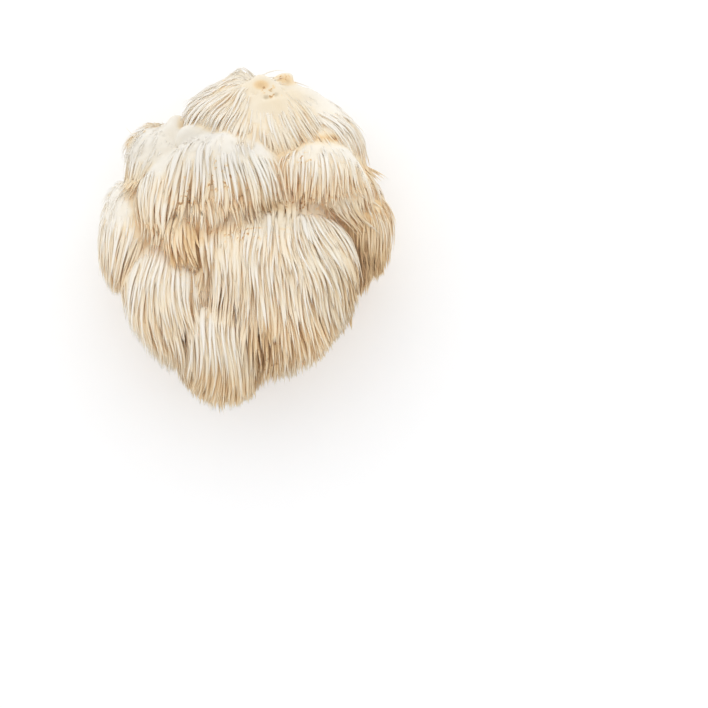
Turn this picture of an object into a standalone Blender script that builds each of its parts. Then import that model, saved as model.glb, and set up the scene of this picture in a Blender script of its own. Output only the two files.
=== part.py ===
"""Lion's mane mushroom: one grown fruit body, cut off flat at the back where it grew.

It lies on the cut, z = 0, with the origin in the middle of the cut face. +Z points out of
the shaggy front and -Y is the way the spines hung while it grew. Each lobe is a rounded
shoulder with a skirt of fluted, pointed locks of spines, and the lobes overlap in tiers,
so every hem hangs over the shoulder of the lobe below it.
"""

import math
from random import Random
from typing import NamedTuple

import bmesh
import bpy
from mathutils import Vector, noise

SEED = 7
NODE = "fruit_body"

# The inner flesh, which every lobe grows from, is cut flat at the back.
FLESH_CENTRE = Vector((0.0, 0.0, 0.032))
FLESH_RADII = Vector((0.047, 0.048, 0.041))
FLESH_SEGMENTS = 26
FLESH_RINGS = 16

# Small knots of flesh, as (name, centre, radius), fill the pockets where three lobes meet.
KNOTS = (
    ("knot_left", (-0.0415, 0.0220, 0.0415), 0.0100),
    ("knot_top_left", (-0.0230, 0.0370, 0.0470), 0.0060),
    ("knot_top", (0.0157, 0.0350, 0.0570), 0.0060),
    ("knot_right", (0.0390, 0.0010, 0.0560), 0.0050),
)

# A lobe's rings run from the pole of its shoulder over the equator to the hem.
SHOULDER_ANGLES = (26, 52, 76)
SKIRT_STEP = 0.011
HEM_GATHER = 0.16
FLUTE_AT_EQUATOR = 0.0008
FLUTE_AT_HEM = 0.0018
FLUTE_SPREAD = (0.4, 1.5)
TIP_LENGTH = (0.004, 0.010)
ANGLE_JITTER = 0.28

# A second, inner row of tips fills the underside of each lobe.
INNER_ROW = 0.52
INNER_RISE = 0.002
INNER_TIP = (0.003, 0.007)

# Slow waves of the whole surface, so that no lobe is a perfect oval.
WAVE_LENGTH = 0.019
WAVE_HEIGHT = 0.0016

FLOOR_GAP = 0.0012

IVORY = (0.82, 0.72, 0.56, 1.0)


class Lobe(NamedTuple):
    """A shoulder of the given centre and radii, whose skirt ends skirt below the centre.

    lean moves the hem along X and Z from straight below the shoulder, and pole moves the
    point that the spines part from in the same way. side_rise is how much shorter, as a
    share, the skirt is at its two sides than in the middle, and slant makes it longer by
    that share at +X and shorter at -X.
    """

    name: str
    centre: tuple
    radii: tuple
    skirt: float
    locks: int
    lean: tuple = (0.0, 0.0)
    pole: tuple = (0.0, 0.0)
    side_rise: float = 0.3
    slant: float = 0.0


LOBES = (
    # The top of the fruit body, next to the place where it grew.
    Lobe("crown", (0.0035, 0.0410, 0.044), (0.0315, 0.0235, 0.028), 0.006, 24, pole=(-0.002, 0.014)),
    Lobe("crown_right", (0.0285, 0.0335, 0.042), (0.0185, 0.0210, 0.026), 0.012, 16, (0.005, 0.0), (-0.006, 0.0)),
    # The second tier, which hangs over the middle of the front.
    Lobe("upper_left", (-0.008, 0.020, 0.056), (0.028, 0.021, 0.028), 0.011, 26),
    Lobe("upper_left_side", (-0.026, 0.013, 0.049), (0.018, 0.022, 0.026), 0.013, 16),
    Lobe("upper_far_left", (-0.0345, 0.0300, 0.040), (0.0145, 0.0155, 0.024), 0.009, 14),
    Lobe("upper_right", (0.026, 0.023, 0.054), (0.018, 0.016, 0.025), 0.005, 16),
    Lobe("upper_far_right", (0.0375, 0.016, 0.043), (0.016, 0.020, 0.025), 0.016, 16, (0.003, 0.0)),
    # The third tier: the large lobe of the front and the lobes at the two sides.
    Lobe("left", (-0.0445, 0.004, 0.036), (0.0145, 0.0195, 0.026), 0.023, 16, slant=0.1),
    Lobe("middle_left", (-0.017, -0.003, 0.050), (0.018, 0.019, 0.028), 0.014, 18),
    Lobe("centre_right", (0.0135, -0.009, 0.055), (0.030, 0.024, 0.030), 0.033, 32, (0.0, -0.004),
         side_rise=0.42, slant=0.02),
    Lobe("right", (0.0465, 0.000, 0.036), (0.0130, 0.019, 0.027), 0.009, 16, slant=-0.3),
    # The lowest tier, whose tips end the fruit body.
    Lobe("lower_left", (-0.030, -0.020, 0.046), (0.020, 0.019, 0.029), 0.031, 24, (0.006, -0.004),
         side_rise=0.35, slant=0.22),
    Lobe("lower_middle", (-0.007, -0.036, 0.047), (0.020, 0.019, 0.029), 0.023, 24, (-0.001, -0.005)),
    Lobe("lower_inner", (0.013, -0.032, 0.038), (0.016, 0.017, 0.027), 0.007, 16, (0.0, -0.002)),
    # The lobes round the cut, which the front hides.
    Lobe("under_left", (-0.036, 0.000, 0.021), (0.019, 0.024, 0.019), 0.024, 16),
    Lobe("under_right", (0.036, 0.006, 0.021), (0.019, 0.024, 0.019), 0.026, 16),
    Lobe("under_lower_left", (-0.020, -0.026, 0.022), (0.024, 0.020, 0.020), 0.017, 16),
    Lobe("under_lower", (0.004, -0.030, 0.022), (0.022, 0.019, 0.020), 0.020, 16),
    Lobe("under_lower_right", (0.024, -0.024, 0.022), (0.020, 0.020, 0.020), 0.012, 16),
    Lobe("under_top_left", (-0.020, 0.032, 0.023), (0.021, 0.018, 0.020), 0.014, 14),
    Lobe("under_top_right", (0.020, 0.035, 0.022), (0.022, 0.018, 0.019), 0.014, 14),
)


def clear_scene():
    for obj in list(bpy.data.objects):
        bpy.data.objects.remove(obj, do_unlink=True)


def waved(point):
    """The point moved by the slow waves of the surface, and kept off the surface it lies on."""
    moved = point + WAVE_HEIGHT * noise.noise_vector(point / WAVE_LENGTH)
    moved.z = max(moved.z, FLOOR_GAP)
    return moved


def lobe_profile(lobe):
    """(drop below the centre, width share, flute depth, share of the skirt) of each ring."""
    radius_y = lobe.radii[1]
    for degrees in SHOULDER_ANGLES:
        angle = math.radians(degrees)
        width = math.sin(angle)
        yield -radius_y * math.cos(angle), width, FLUTE_AT_EQUATOR * width**2, 0.0
    steps = 1 + round(lobe.skirt / SKIRT_STEP)
    for step in range(1, steps + 1):
        share = step / steps
        flute = FLUTE_AT_EQUATOR + (FLUTE_AT_HEM - FLUTE_AT_EQUATOR) * share
        yield lobe.skirt * share, 1.0 - HEM_GATHER * share**2, flute, share


def ring_point(lobe, angle, drop, width, flute, share):
    """A point of one ring. The flute moves it out on a lock and in between two locks."""
    side = math.cos(angle)
    level = drop * (1.0 - lobe.side_rise * side**2 * share + lobe.slant * side * share)
    reach_x = lobe.radii[0] * width + flute
    reach_z = lobe.radii[2] * width + flute
    above = max(0.0, 1.0 - width) if drop < 0.0 else 0.0
    return Vector((
        lobe.centre[0] + reach_x * side + lobe.lean[0] * share + lobe.pole[0] * above,
        lobe.centre[1] - level,
        lobe.centre[2] + reach_z * math.sin(angle) + lobe.lean[1] * share + lobe.pole[1] * above,
    ))


def lobe_mesh(lobe, rng):
    """A closed lobe: shoulder, fluted skirt, a hem of pointed tips, and tips on its underside."""
    bm = bmesh.new()
    count = 2 * lobe.locks
    angles = [math.tau * (i + rng.uniform(-ANGLE_JITTER, ANGLE_JITTER)) / count for i in range(count)]
    depths = [(1 if i % 2 == 0 else -1) * rng.uniform(*FLUTE_SPREAD) for i in range(count)]
    pole = bm.verts.new(waved(ring_point(lobe, 0.0, -lobe.radii[1], 0.0, 0.0, 0.0)))
    rings = []
    for drop, width, flute, share in lobe_profile(lobe):
        points = [ring_point(lobe, a, drop, width, d * flute, share) for a, d in zip(angles, depths)]
        rings.append([bm.verts.new(waved(point)) for point in points])
    for lock in rings[-1][::2]:
        lock.co.y -= rng.uniform(*TIP_LENGTH)
    hem = lobe.skirt - INNER_RISE
    inner = []
    for i, angle in enumerate(angles):
        point = ring_point(lobe, angle, hem, INNER_ROW, 0.0, 1.0)
        point.y -= rng.uniform(*INNER_TIP) if i % 2 else 0.0
        inner.append(bm.verts.new(waved(point)))
    middle = bm.verts.new(waved(ring_point(lobe, 0.0, hem, 0.0, 0.0, 1.0)))
    for i in range(count):
        after = (i + 1) % count
        bm.faces.new((pole, rings[0][i], rings[0][after]))
        for upper, lower in zip(rings, rings[1:]):
            bm.faces.new((upper[i], lower[i], lower[after], upper[after]))
        bm.faces.new((rings[-1][i], inner[i], inner[after], rings[-1][after]))
        bm.faces.new((middle, inner[after], inner[i]))
    bmesh.ops.triangulate(bm, faces=[f for f in bm.faces if len(f.verts) > 3])
    bmesh.ops.recalc_face_normals(bm, faces=bm.faces)
    mesh = bpy.data.meshes.new(lobe.name)
    bm.to_mesh(mesh)
    bm.free()
    return mesh


def flesh_mesh():
    """The inner flesh as an oval ball, waved, and cut off flat at z = 0."""
    bm = bmesh.new()
    bmesh.ops.create_uvsphere(bm, u_segments=FLESH_SEGMENTS, v_segments=FLESH_RINGS, radius=1.0)
    for vert in bm.verts:
        point = Vector(a * b for a, b in zip(vert.co, FLESH_RADII)) + FLESH_CENTRE
        vert.co = point + WAVE_HEIGHT * noise.noise_vector(point / WAVE_LENGTH)
    everything = bm.verts[:] + bm.edges[:] + bm.faces[:]
    cut = bmesh.ops.bisect_plane(
        bm, geom=everything, plane_co=(0, 0, 0), plane_no=(0, 0, -1), clear_outer=True, dist=1e-5
    )
    edges = [item for item in cut["geom_cut"] if isinstance(item, bmesh.types.BMEdge)]
    bmesh.ops.contextual_create(bm, geom=edges)
    bmesh.ops.recalc_face_normals(bm, faces=bm.faces)
    mesh = bpy.data.meshes.new(NODE)
    bm.to_mesh(mesh)
    bm.free()
    return mesh


def knot_mesh(name, centre, radius):
    bm = bmesh.new()
    bmesh.ops.create_icosphere(bm, subdivisions=2, radius=radius)
    bmesh.ops.translate(bm, verts=bm.verts, vec=centre)
    mesh = bpy.data.meshes.new(name)
    bm.to_mesh(mesh)
    bm.free()
    return mesh


def mushroom_material():
    material = bpy.data.materials.new("ivory_flesh")
    material.use_nodes = True
    shader = material.node_tree.nodes["Principled BSDF"]
    shader.inputs["Base Color"].default_value = IVORY
    shader.inputs["Roughness"].default_value = 0.75
    shader.inputs["Metallic"].default_value = 0.0
    return material


def add_object(name, mesh, collection):
    obj = bpy.data.objects.new(name, mesh)
    collection.objects.link(obj)
    return obj


def main():
    clear_scene()
    noise.seed_set(SEED)
    rng = Random(SEED)
    scene_collection = bpy.context.scene.collection
    lobes = bpy.data.collections.new("lobes")
    scene_collection.children.link(lobes)
    meshes = [lobe_mesh(lobe, rng) for lobe in LOBES] + [knot_mesh(*knot) for knot in KNOTS]
    for mesh in meshes:
        shape = add_object(mesh.name, mesh, lobes)
        shape.hide_render = True
        shape.display_type = "WIRE"
    body = add_object(NODE, flesh_mesh(), scene_collection)
    body.data.materials.append(mushroom_material())
    fuse = body.modifiers.new("fuse_lobes", "BOOLEAN")
    fuse.operation = "UNION"
    fuse.operand_type = "COLLECTION"
    fuse.collection = lobes
    fuse.solver = "EXACT"


main()
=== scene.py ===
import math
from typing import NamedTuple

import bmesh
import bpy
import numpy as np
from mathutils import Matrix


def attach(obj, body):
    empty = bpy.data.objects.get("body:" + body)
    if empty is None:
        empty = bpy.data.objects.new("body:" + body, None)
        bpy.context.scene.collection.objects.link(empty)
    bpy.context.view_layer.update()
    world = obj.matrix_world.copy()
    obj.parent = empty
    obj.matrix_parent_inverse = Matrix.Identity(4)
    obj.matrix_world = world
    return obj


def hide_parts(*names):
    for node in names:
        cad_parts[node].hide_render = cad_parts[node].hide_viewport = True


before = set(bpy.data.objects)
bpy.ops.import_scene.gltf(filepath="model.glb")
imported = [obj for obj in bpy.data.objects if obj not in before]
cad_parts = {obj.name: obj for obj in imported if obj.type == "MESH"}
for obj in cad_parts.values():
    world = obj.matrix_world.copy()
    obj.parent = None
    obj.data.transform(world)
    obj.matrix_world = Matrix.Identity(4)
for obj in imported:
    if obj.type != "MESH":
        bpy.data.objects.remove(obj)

# The looks of the lion's mane mushroom, in metres, in the frame of the solids.
# The mushroom lies on its cut face, z = 0. +Z is its shaggy front, -Y is the way its spines
# hung, and the crown is at +Y. Each lobe is a core of flesh that hundreds of spines grow
# from. A spine lies on its core like a shingle: its root is in the flesh, and its tip is
# lifted over the spines that start further down.

SEED = 11
NODE = "fruit_body"


class Lobe(NamedTuple):
    """A lobe's shoulder has this centre and these radii, and its hem is skirt below the centre.

    The spines of one group are one piece. lean moves the hem along X and Z. side_rise and
    slant shorten the skirt at both sides and at -X. parting is the way from the centre to the
    place that the spines part from, and turn is how far they run before they hang. They hang
    along hang and -Y, and fan and flare spread them to both sides and towards +X. comb is how
    straight they lie as seen from the front: at 0 they spread over the lobe from the parting.
    length is how long they grow, and bare how deep they start in the flesh. shade is painted
    shade that makes spines and flesh more tan in lobes that lie deep or under the others; in the
    deep right lobe it also stands for some of its own tan. Higher on the lobe than bald times its
    upper radius, only down grows. fine scales the spines' thickness and how far apart they stand.
    """

    group: str
    centre: tuple
    radii: tuple
    skirt: float
    lean: tuple = (0.0, 0.0)
    side_rise: float = 0.3
    slant: float = 0.0
    parting: tuple = (0.0, 0.85, -0.5)
    turn: float = 0.014
    hang: float = 0.0
    fan: float = 0.15
    flare: float = 0.0
    comb: float = 0.8
    length: float = 0.026
    bare: float = 0.5
    shade: float = 0.0
    bald: float = 0.9
    fine: float = 1.0


class StrandRow(NamedTuple):
    """A row of loose strands that bridge a valley between lobes, side by side along X.

    start, bend and tip are the first strand's, in X and Y. steps is how far each of these
    three moves along X from one strand to the next. start_drop and tip_drop are how far the
    start and the tip move down with each strand, and after how many strands that begins anew.
    """

    count: int
    start: tuple
    bend: tuple
    tip: tuple
    steps: tuple
    start_drop: tuple
    tip_drop: tuple
    radius: float


class Skin(NamedTuple):
    """The grain's scale, its scale along Y and its depth. Then how much painted shade deepens
    the colour where spines hide a place, and how deep the colour lies in the open.
    """

    grain: float
    along_grain: float
    grain_depth: float
    cover: float
    base: float


LOBES = (
    Lobe("crown", (0.0035, 0.041, 0.045), (0.03, 0.023, 0.028), 0.017, side_rise=0.9,
         parting=(0.15, 0.75, 0.65), turn=0.01, fan=0.9, comb=0.5, length=0.018, bare=0.7,
         bald=0.85, fine=0.7),
    Lobe("crown", (0.029, 0.0338, 0.042), (0.0188, 0.019, 0.026), 0.012, lean=(0.005, 0.0),
         parting=(-0.5, 0.8, 0.4), hang=0.25, fan=0.2, comb=0.5, length=0.018, bare=0.8,
         fine=0.85),
    Lobe("upper", (-0.008, 0.02, 0.056), (0.028, 0.021, 0.028), 0.0135, side_rise=0.55,
         hang=0.08, fan=0.38, length=0.024, bare=0.9, bald=0.55, fine=0.9),
    Lobe("upper", (-0.026, 0.013, 0.049), (0.018, 0.022, 0.026), 0.013, hang=-0.1, bald=0.6,
         fine=0.9),
    Lobe("far_left", (-0.0352, 0.0282, 0.04), (0.016, 0.0172, 0.024), 0.0095, hang=-0.5,
         comb=0.6, length=0.014, bare=1.2, bald=0.15, fine=0.85),
    Lobe("right", (0.028, 0.023, 0.054), (0.0205, 0.016, 0.025), 0.005, hang=0.08, fan=0.2,
         flare=0.4, length=0.018, bare=1.0, shade=0.15, bald=0.5, fine=0.85),
    Lobe("right", (0.0358, 0.016, 0.043), (0.016, 0.02, 0.025), 0.015, lean=(0.003, 0.0),
         hang=0.4, length=0.018, shade=0.25, fine=0.85),
    Lobe("left", (-0.0458, 0.005, 0.036), (0.0152, 0.0188, 0.026), 0.024, lean=(0.002, 0.0),
         slant=0.1, hang=-0.35, fan=-0.15, comb=0.7, length=0.022, bare=1.4, bald=0.1,
         fine=0.9),
    Lobe("left", (-0.0215, -0.002, 0.05), (0.015, 0.019, 0.026), 0.006, slant=0.5, hang=0.16,
         length=0.02, bare=0.1, shade=0.45, fine=0.9),
    Lobe("centre", (0.0115, -0.009, 0.055), (0.0325, 0.024, 0.03), 0.042, lean=(0.0, -0.009),
         side_rise=0.5, slant=-0.15, hang=0.05, fan=0.3, flare=0.22, length=0.025, bare=0.25,
         shade=0.1, bald=1.0, fine=0.85),
    Lobe("right", (0.046, 0.0, 0.036), (0.0132, 0.019, 0.027), 0.013, slant=-0.3, length=0.024,
         bare=1.5, shade=0.9, bald=1.5, fine=0.6),
    Lobe("lower_left", (-0.0285, -0.02, 0.046), (0.0222, 0.0195, 0.029), 0.028,
         lean=(0.006, -0.004), side_rise=0.34, slant=0.42, hang=0.05, fan=0.1, flare=0.12,
         length=0.03, bare=1.3, bald=1.4, fine=0.82),
    Lobe("lower", (-0.01, -0.0385, 0.047), (0.019, 0.015, 0.03), 0.024, lean=(0.0, -0.005),
         side_rise=0.66, slant=0.08, parting=(-0.35, 0.8, -0.4), fan=0.35, comb=0.6,
         length=0.03, bare=0.9, bald=0.6, fine=0.85),
    Lobe("lower", (0.0105, -0.032, 0.038), (0.016, 0.017, 0.027), 0.018, lean=(0.0, -0.002),
         length=0.024, shade=0.9),
    Lobe("under_left", (-0.036, 0.0, 0.021), (0.019, 0.024, 0.019), 0.024, shade=0.3, fine=1.2),
    Lobe("under_right", (0.036, 0.006, 0.021), (0.019, 0.024, 0.019), 0.026, shade=0.4,
         fine=1.2),
    Lobe("under_left", (-0.02, -0.026, 0.022), (0.024, 0.02, 0.02), 0.017, shade=0.3, fine=1.2),
    Lobe("under_lower", (0.004, -0.03, 0.022), (0.022, 0.019, 0.02), 0.02, shade=0.3, fine=1.2),
    Lobe("under_lower", (0.023, -0.023, 0.022), (0.02, 0.02, 0.02), 0.01, shade=0.3, fine=1.2),
    Lobe("under_left", (-0.02, 0.032, 0.023), (0.021, 0.018, 0.02), 0.014, length=0.018,
         shade=0.2),
    Lobe("under_right", (0.02, 0.035, 0.022), (0.022, 0.018, 0.019), 0.014, length=0.018,
         shade=0.2),
    # The flesh behind all other lobes, which shows between them.
    Lobe("between", (0.0, 0.006, 0.032), (0.0485, 0.044, 0.0435), 0.04, length=0.024, bare=0.2,
         shade=0.1, fine=1.2),
)

# How far each lobe's core lies inside the lobe, how far below it the lean goes on, in its
# depths, and how square its lower half is, where 2 is round.
INSET_SIDE = 0.0022
INSET_TOP = 0.0012
HEM_ABOVE = 0.005
LEAST_DEPTH = 0.007
MOST_LEAN = 1.5
BOTTOM_POWER = 3.0

# How the whole mushroom is bent, as (wavelength, size): all ways, and then up and down alone.
# The bend grows from none at the cut face to its full size at BEND_FROM. WAVE_SPREAD is how
# much the waves of one wavelength differ.
BENDS = ((0.040, 0.0011), (0.020, 0.00025))
BEND_UP = (0.024, 0.0007)
BEND_WAVES = 8
WAVE_SPREAD = (0.7, 1.5)
BEND_FROM = 0.012

# Where the form bulges out or sinks in, as (centre, shift, radius).
BULGES = (
    ((-0.0020, 0.0610, 0.0500), (0.0, 0.0044, 0.0), 0.0062),
    ((0.0055, 0.0620, 0.0520), (0.0, -0.0010, 0.0), 0.0040),
    ((0.0290, 0.0500, 0.0460), (0.0, 0.0034, 0.0), 0.0075),
)

# Where spines start. Here and below, ranges are given as (least, most).
ROOT_TRIES = 60_000
SPACING = 0.0016
SCATTER = 0.25
ROOT_LEAST_Z = 0.003
CREVICE = 0.0009
BALD_EDGE = 0.12
DOWN_CLEAR = 0.003
DOWN_SHARE = 0.25
SHORT_SHARE = 0.45

# How a spine grows, step by step. Its root is buried in the flesh, it rises at its lift rate
# to its most lift, and it climbs over other cores that are in its way. Strays rise further.
# SWERVE holds a gamma draw's two numbers.
STEP = 0.0020
STEPS = 19
BURIED = (0.0006, 0.0013)
BURIED_LEAST = 0.4
DOWN_BURIED = (0.0000, 0.0004)
LIFT_RATE = (0.04, 0.10)
LIFT_MOST = (0.0003, 0.0016)
DOWN_LIFT = 0.25
SHORT_LIFT = 2.0
STRAY_SHARE = 0.02
DOWN_STRAYS = 3.0
STRAY_RATE = (0.12, 0.30)
STRAY_MOST = (0.0015, 0.0030)
SWERVE = (1.5, 0.045)
SWERVE_MOST = 0.16
HANG_PULL = 0.75
LEAVE_FLESH = 0.2
INERTIA = 0.6
GAP = (0.0008, 0.0034)
CLIMB_RATE = 0.3
CLIMB_STEP = 0.0012
CLIMB_LEAST_SLOPE = 0.5
MOST_CLIMB = (0.001, 0.007)
CLIMBS = 2
SMOOTH_ROUNDS = 2
LEAST_Z = 0.0012

# How long a spine gets, and how ragged the hems are. TIP_BETA holds a beta draw's two numbers.
LENGTH_SPREAD = (0.50, 1.10)
SHORT_LENGTH = 0.5
DOWN_LENGTH = (0.003, 0.009)
LEAST_LENGTH = 0.0028
TIP_SPREAD = 0.0075
TIP_BETA = (2.0, 1.6)
SIDE_MOST = 1.1

# How spines gather in clumps.
CLUMP_SHARE = 0.18
CLUMP_PULL = 0.28
CLUMP_REACH = 0.005
CLUMP_POWER = 1.6
OTHER_LOBE = 1.0
CHUNK = 1000

# A spine's tube.
RINGS = 6
SIDES = 5
RING_POWER = 0.9
RING_SHARES = np.linspace(0.0, 1.0, RINGS + 1) ** RING_POWER
RADIUS = (0.00050, 0.00165)
RADIUS_BETA = (1.5, 2.0)
FULL_LENGTH = 0.020
GIRTH_BY_LENGTH = (0.75, 1.05)
DOWN_GIRTH = 0.42
FLATNESS = 0.46
TAPER = (2.0, 0.9)
ROLL = 0.3
# How much painted shade a spine's tip gets, where its top gets none and its underside all.
TIP_UNDER = 0.4

# A tube's place in its cell of the OFBake map.
MAP_MARGIN = 0.06
MAP_TUBE_FROM = 0.1
MAP_END_MIDDLE = (0.5, 0.035)
MAP_END_RADII = (0.3, 0.03)

# Crowding of the spines, which tells how deep a place lies in the fur; the material paints
# shade from it. Spines that are more sheltered than HIDDEN all along are left out.
CELL = 0.0015
REACH = 6
SAMPLES = 25
RAYS = 24
BLOCKING = 1.1
HIDDEN = 0.93

# Where a lobe's shoulder starts, in upper radii, and how far its tips reach below its hem.
# Between them the material paints shade that darkens the lobe towards its hem.
SHOULDER = 0.4
TIPS_BELOW = 0.004

# Where the colour turns tan and brown, as (centre, radii, strength): stains of age on the
# crown and at the upper left, and painted shade in hollows, gaps and lower parts.
STAINS_AND_SHADE = (
    ((0.0150, 0.0604, 0.048), (0.0048, 0.0032, 0.012), 1.9),
    ((0.0063, 0.0579, 0.060), (0.0038, 0.0025, 0.012), 1.9),
    # The two pits: their brown, and painted shade in their hollows.
    ((0.0084, 0.0529, 0.065), (0.0018, 0.0014, 0.010), 1.0),
    ((0.0121, 0.0542, 0.064), (0.0018, 0.0014, 0.010), 1.0),
    # Stains of age on the crown.
    ((-0.0018, 0.0615, 0.051), (0.0075, 0.0060, 0.009), 0.6),
    ((0.0110, 0.0540, 0.064), (0.0220, 0.0120, 0.020), 0.75),
    ((0.0324, 0.0371, 0.060), (0.0050, 0.0016, 0.012), 1.6),
    # Painted shade in the crevice between the crown and the upper lobe.
    ((-0.0130, 0.0400, 0.062), (0.0090, 0.0020, 0.010), 0.3),
    # Stains at the upper left.
    ((-0.0386, 0.0450, 0.045), (0.0050, 0.0025, 0.015), 1.0),
    ((-0.0466, 0.0385, 0.042), (0.0035, 0.0045, 0.015), 1.0),
    # Painted shade on the right flank, at the bottom, on the right lobe's wall, under the upper
    # lobes' hems, in the gap below the middle and in the dark gaps at the left.
    ((0.0400, -0.0197, 0.045), (0.0090, 0.0180, 0.030), 1.1),
    ((-0.0110, -0.0610, 0.050), (0.0200, 0.0110, 0.040), 0.8),
    ((0.0230, -0.0440, 0.050), (0.0220, 0.0100, 0.040), 0.6),
    ((0.0487, -0.0137, 0.040), (0.0100, 0.0080, 0.025), 0.3),
    ((-0.0069, 0.0004, 0.074), (0.0110, 0.0022, 0.007), 0.5),
    ((0.0120, 0.0095, 0.074), (0.0080, 0.0022, 0.008), 0.7),
    ((0.0085, -0.0430, 0.050), (0.0080, 0.0140, 0.030), 1.7),
    ((-0.0165, -0.0109, 0.068), (0.0030, 0.0045, 0.009), 0.8),
    ((-0.0192, -0.0029, 0.068), (0.0050, 0.0050, 0.012), 0.8),
)

# Where small brown flecks show, in the same way.
FLECKS = (
    ((-0.0090, 0.0205, 0.082), (0.0060, 0.0075, 0.010), 1.0),
    ((-0.0230, 0.0120, 0.076), (0.0045, 0.0090, 0.010), 1.0),
    ((0.0000, -0.0010, 0.078), (0.0180, 0.0030, 0.012), 1.0),
    ((0.0250, 0.0110, 0.074), (0.0120, 0.0030, 0.012), 1.0),
    ((0.0105, 0.0550, 0.064), (0.0045, 0.0028, 0.010), 0.9),
    ((0.0150, 0.0604, 0.048), (0.0045, 0.0030, 0.010), 0.7),
    ((-0.0430, 0.0420, 0.043), (0.0080, 0.0060, 0.020), 1.0),
    ((0.0235, 0.0290, 0.077), (0.0032, 0.0036, 0.008), 1.2),
    ((-0.0200, -0.0140, 0.070), (0.0060, 0.0060, 0.010), 0.6),
    ((0.0085, -0.0421, 0.055), (0.0070, 0.0130, 0.020), 0.8),
)

# Where the colour is darker, in the same way: a dull tan and darker spots on the crown, and
# painted shade elsewhere.
DULL_AND_SHADE = (
    ((0.0120, 0.0540, 0.060), (0.0200, 0.0110, 0.026), 0.3),
    # Painted shade in the pits' hollows.
    ((0.0084, 0.0529, 0.065), (0.0013, 0.0009, 0.010), 1.8),
    ((0.0121, 0.0542, 0.064), (0.0010, 0.0009, 0.010), 1.4),
    ((0.0101, 0.0557, 0.063), (0.0009, 0.0008, 0.010), 0.9),
    # A darker spot at the crown's peak.
    ((-0.0012, 0.0645, 0.050), (0.0070, 0.0055, 0.010), 0.6),
    # Painted shade under the upper lobes' hems and in a gap at the left.
    ((0.0120, 0.0095, 0.074), (0.0080, 0.0022, 0.008), 0.9),
    ((-0.0165, -0.0112, 0.066), (0.0035, 0.0035, 0.012), 0.4),
    # Darker spots beside the crown's bump.
    ((0.0165, 0.0603, 0.048), (0.0009, 0.0014, 0.010), 1.0),
    ((0.0135, 0.0610, 0.048), (0.0008, 0.0012, 0.010), 0.8),
    # Painted shade on the right lobes' lower parts, at the bottom and in the gap below the middle.
    ((0.0480, -0.0050, 0.045), (0.0130, 0.0200, 0.030), 0.4),
    ((0.0390, -0.0260, 0.045), (0.0120, 0.0220, 0.040), 0.6),
    ((0.0000, -0.0560, 0.045), (0.0500, 0.0130, 0.050), 0.4),
    ((0.0085, -0.0430, 0.050), (0.0070, 0.0130, 0.030), 0.5),
    # Painted shade that dims the upper left lobe, the crevice behind the upper lobe and the tops of
    # the upper and middle lobes.
    ((-0.0352, 0.0350, 0.055), (0.0170, 0.0150, 0.030), 0.4),
    ((-0.0170, 0.0380, 0.060), (0.0110, 0.0060, 0.020), 0.6),
    ((-0.0100, 0.0280, 0.080), (0.0200, 0.0090, 0.025), 0.4),
    ((0.0100, 0.0040, 0.080), (0.0180, 0.0060, 0.025), 0.4),
)

# Loose hairs and locks that lie across the lobes, as (places, radius). The places are
# where a hair starts, bends and ends, in X and Y.
LOOSE_HAIRS = (
    ((-0.0420, 0.0355, -0.0480, 0.0380, -0.0495, 0.0415), 0.00024),
    ((-0.0435, 0.0350, -0.0450, 0.0380, -0.0455, 0.0405), 0.00022),
    ((-0.0455, 0.0310, -0.0500, 0.0335, -0.0515, 0.0290), 0.00024),
    ((-0.0300, 0.0430, -0.0330, 0.0460, -0.0280, 0.0465), 0.00022),
    ((-0.0290, -0.0215, -0.0315, -0.0300, -0.0375, -0.0385), 0.00062),
    ((-0.0300, -0.0215, -0.0325, -0.0295, -0.0365, -0.0375), 0.00055),
    ((-0.0280, -0.0230, -0.0310, -0.0310, -0.0350, -0.0390), 0.00055),
    ((-0.0265, -0.0140, -0.0290, -0.0220, -0.0335, -0.0320), 0.00060),
    ((0.0480, 0.0150, 0.0530, 0.0110, 0.0555, 0.0080), 0.00050),
)

# Rows of loose strands in the valleys at the left, where lobes meet. The strands of a
# row come in threes, each thicker than the one before by ROW_GIRTH.
ROW_GIRTH = 0.00008
STRAND_ROWS = (
    StrandRow(count=15, start=(-0.0216, -0.0075), bend=(-0.0190, -0.0165),
              tip=(-0.0172, -0.0280), steps=(0.0007, 0.00055, 0.0005), start_drop=(0.0006, 3),
              tip_drop=(0.0014, 4), radius=0.00050),
    StrandRow(count=8, start=(-0.0185, -0.0195), bend=(-0.0176, -0.0255),
              tip=(-0.0166, -0.0325), steps=(0.0006, 0.0006, 0.0006), start_drop=(0.0007, 3),
              tip_drop=(0.0010, 3), radius=0.00055),
    StrandRow(count=11, start=(-0.0403, -0.0013), bend=(-0.0406, -0.0065),
              tip=(-0.0412, -0.0112), steps=(0.0010, 0.0010, 0.0011), start_drop=(0.0006, 2),
              tip_drop=(0.0010, 3), radius=0.00055),
)

# How steeply loose hairs may fall between two rings, and how high their starts and tips lie.
LOOSE_FALL = 0.0022
LOOSE_HEIGHTS = (-0.0004, 0.0012)
SURFACE_HEIGHTS = (0.002, 0.095, 0.0005)

# The old, bare scar on the crown, as (centre, radii), and how far down grows around it, in
# these radii.
BARE_SPOTS = (
    ((0.0085, 0.0535, 0.0640), (0.0070, 0.0065, 0.0140)),
    ((0.0210, 0.0575, 0.0530), (0.0085, 0.0050, 0.0120)),
)
SCAR_DOWN = 1.2

# Bumps of flesh around the scar, as (centre, radii).
SCAR_BUMPS = (
    ((0.0090, 0.0498, 0.0645), (0.0075, 0.0042, 0.0050)),
    ((0.0060, 0.0584, 0.0592), (0.0048, 0.0030, 0.0045)),
    ((0.0146, 0.0612, 0.0485), (0.0040, 0.0026, 0.0055)),
    ((0.0012, 0.0560, 0.0600), (0.0040, 0.0030, 0.0045)),
)

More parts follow.
